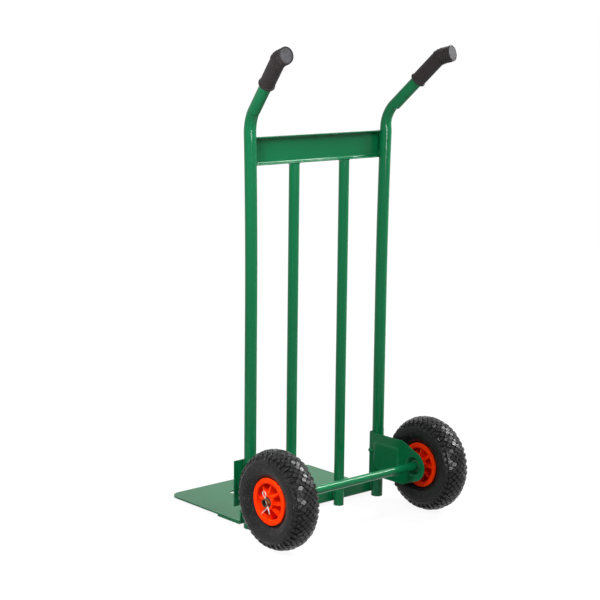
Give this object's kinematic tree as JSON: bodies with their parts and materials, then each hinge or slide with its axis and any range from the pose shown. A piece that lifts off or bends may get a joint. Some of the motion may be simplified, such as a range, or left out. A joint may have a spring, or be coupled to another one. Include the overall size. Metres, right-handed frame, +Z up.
{
  "type": "hand truck",
  "caption": "Upright wheeled hand truck with a welded tubular frame, flat toe plate, swept-back rubber handle grips and free-spinning pneumatic wheels.",
  "frame": {"origin": "on the floor plane under the tyres, midway between the wheels and midway from the back of the tyres to the front of the toe plate", "axes": "+X to the right seen from behind, along the axle; +Y forwards, the way the toe plate points; +Z up along the uprights"},
  "size_m": [0.6276, 0.6172, 1.2617],
  "materials": {
    "frame_paint": "gloss paint",
    "axle_paint": "gloss paint between the brackets, bare ends",
    "weld_paint": "painted bead",
    "zinc_steel": "dull zinc",
    "grip_rubber": "satin",
    "tyre_rubber": "satin",
    "tube_rubber": "matte",
    "rim_plastic": "semi gloss",
    "bush_plastic": "matte",
    "valve_rubber": "satin",
    "cap_plastic": "satin"
  },
  "bodies": {
    "frame": {"left_upright": "frame_paint", "right_upright": "frame_paint", "left_centre_rail": "frame_paint", "right_centre_rail": "frame_paint", "crossbar": "frame_paint", "toe_plate": "frame_paint", "toe_plate_angle": "frame_paint", "left_wheel_bracket": "frame_paint", "right_wheel_bracket": "frame_paint", "axle_tube": "axle_paint", "left_axle_washer": "zinc_steel", "right_axle_washer": "zinc_steel", "left_split_pin": "zinc_steel", "right_split_pin": "zinc_steel", "left_handle_grip": "grip_rubber", "right_handle_grip": "grip_rubber", "crossbar_welds": "weld_paint", "bracket_welds": "weld_paint", "toe_angle_welds": "weld_paint", "rail_welds": "weld_paint", "axle_welds": "weld_paint"},
    "left_wheel": {"left_tyre": "tyre_rubber", "left_air_tube": "tube_rubber", "left_rim": "rim_plastic", "left_hub_bushes": "bush_plastic", "left_valve_stem": "valve_rubber", "left_valve_cap": "cap_plastic"},
    "right_wheel": {"right_tyre": "tyre_rubber", "right_air_tube": "tube_rubber", "right_rim": "rim_plastic", "right_hub_bushes": "bush_plastic", "right_valve_stem": "valve_rubber", "right_valve_cap": "cap_plastic"}
  },
  "joints": [
    {"name": "left_wheel_spin", "type": "hinge", "parent": "frame", "child": "left_wheel", "pos_m": [-0.2684, -0.17865, 0.13], "axis": [1, 0, 0], "continuous": true},
    {"name": "right_wheel_spin", "type": "hinge", "parent": "frame", "child": "right_wheel", "pos_m": [0.2684, -0.17865, 0.13], "axis": [1, 0, 0], "continuous": true}
  ]
}
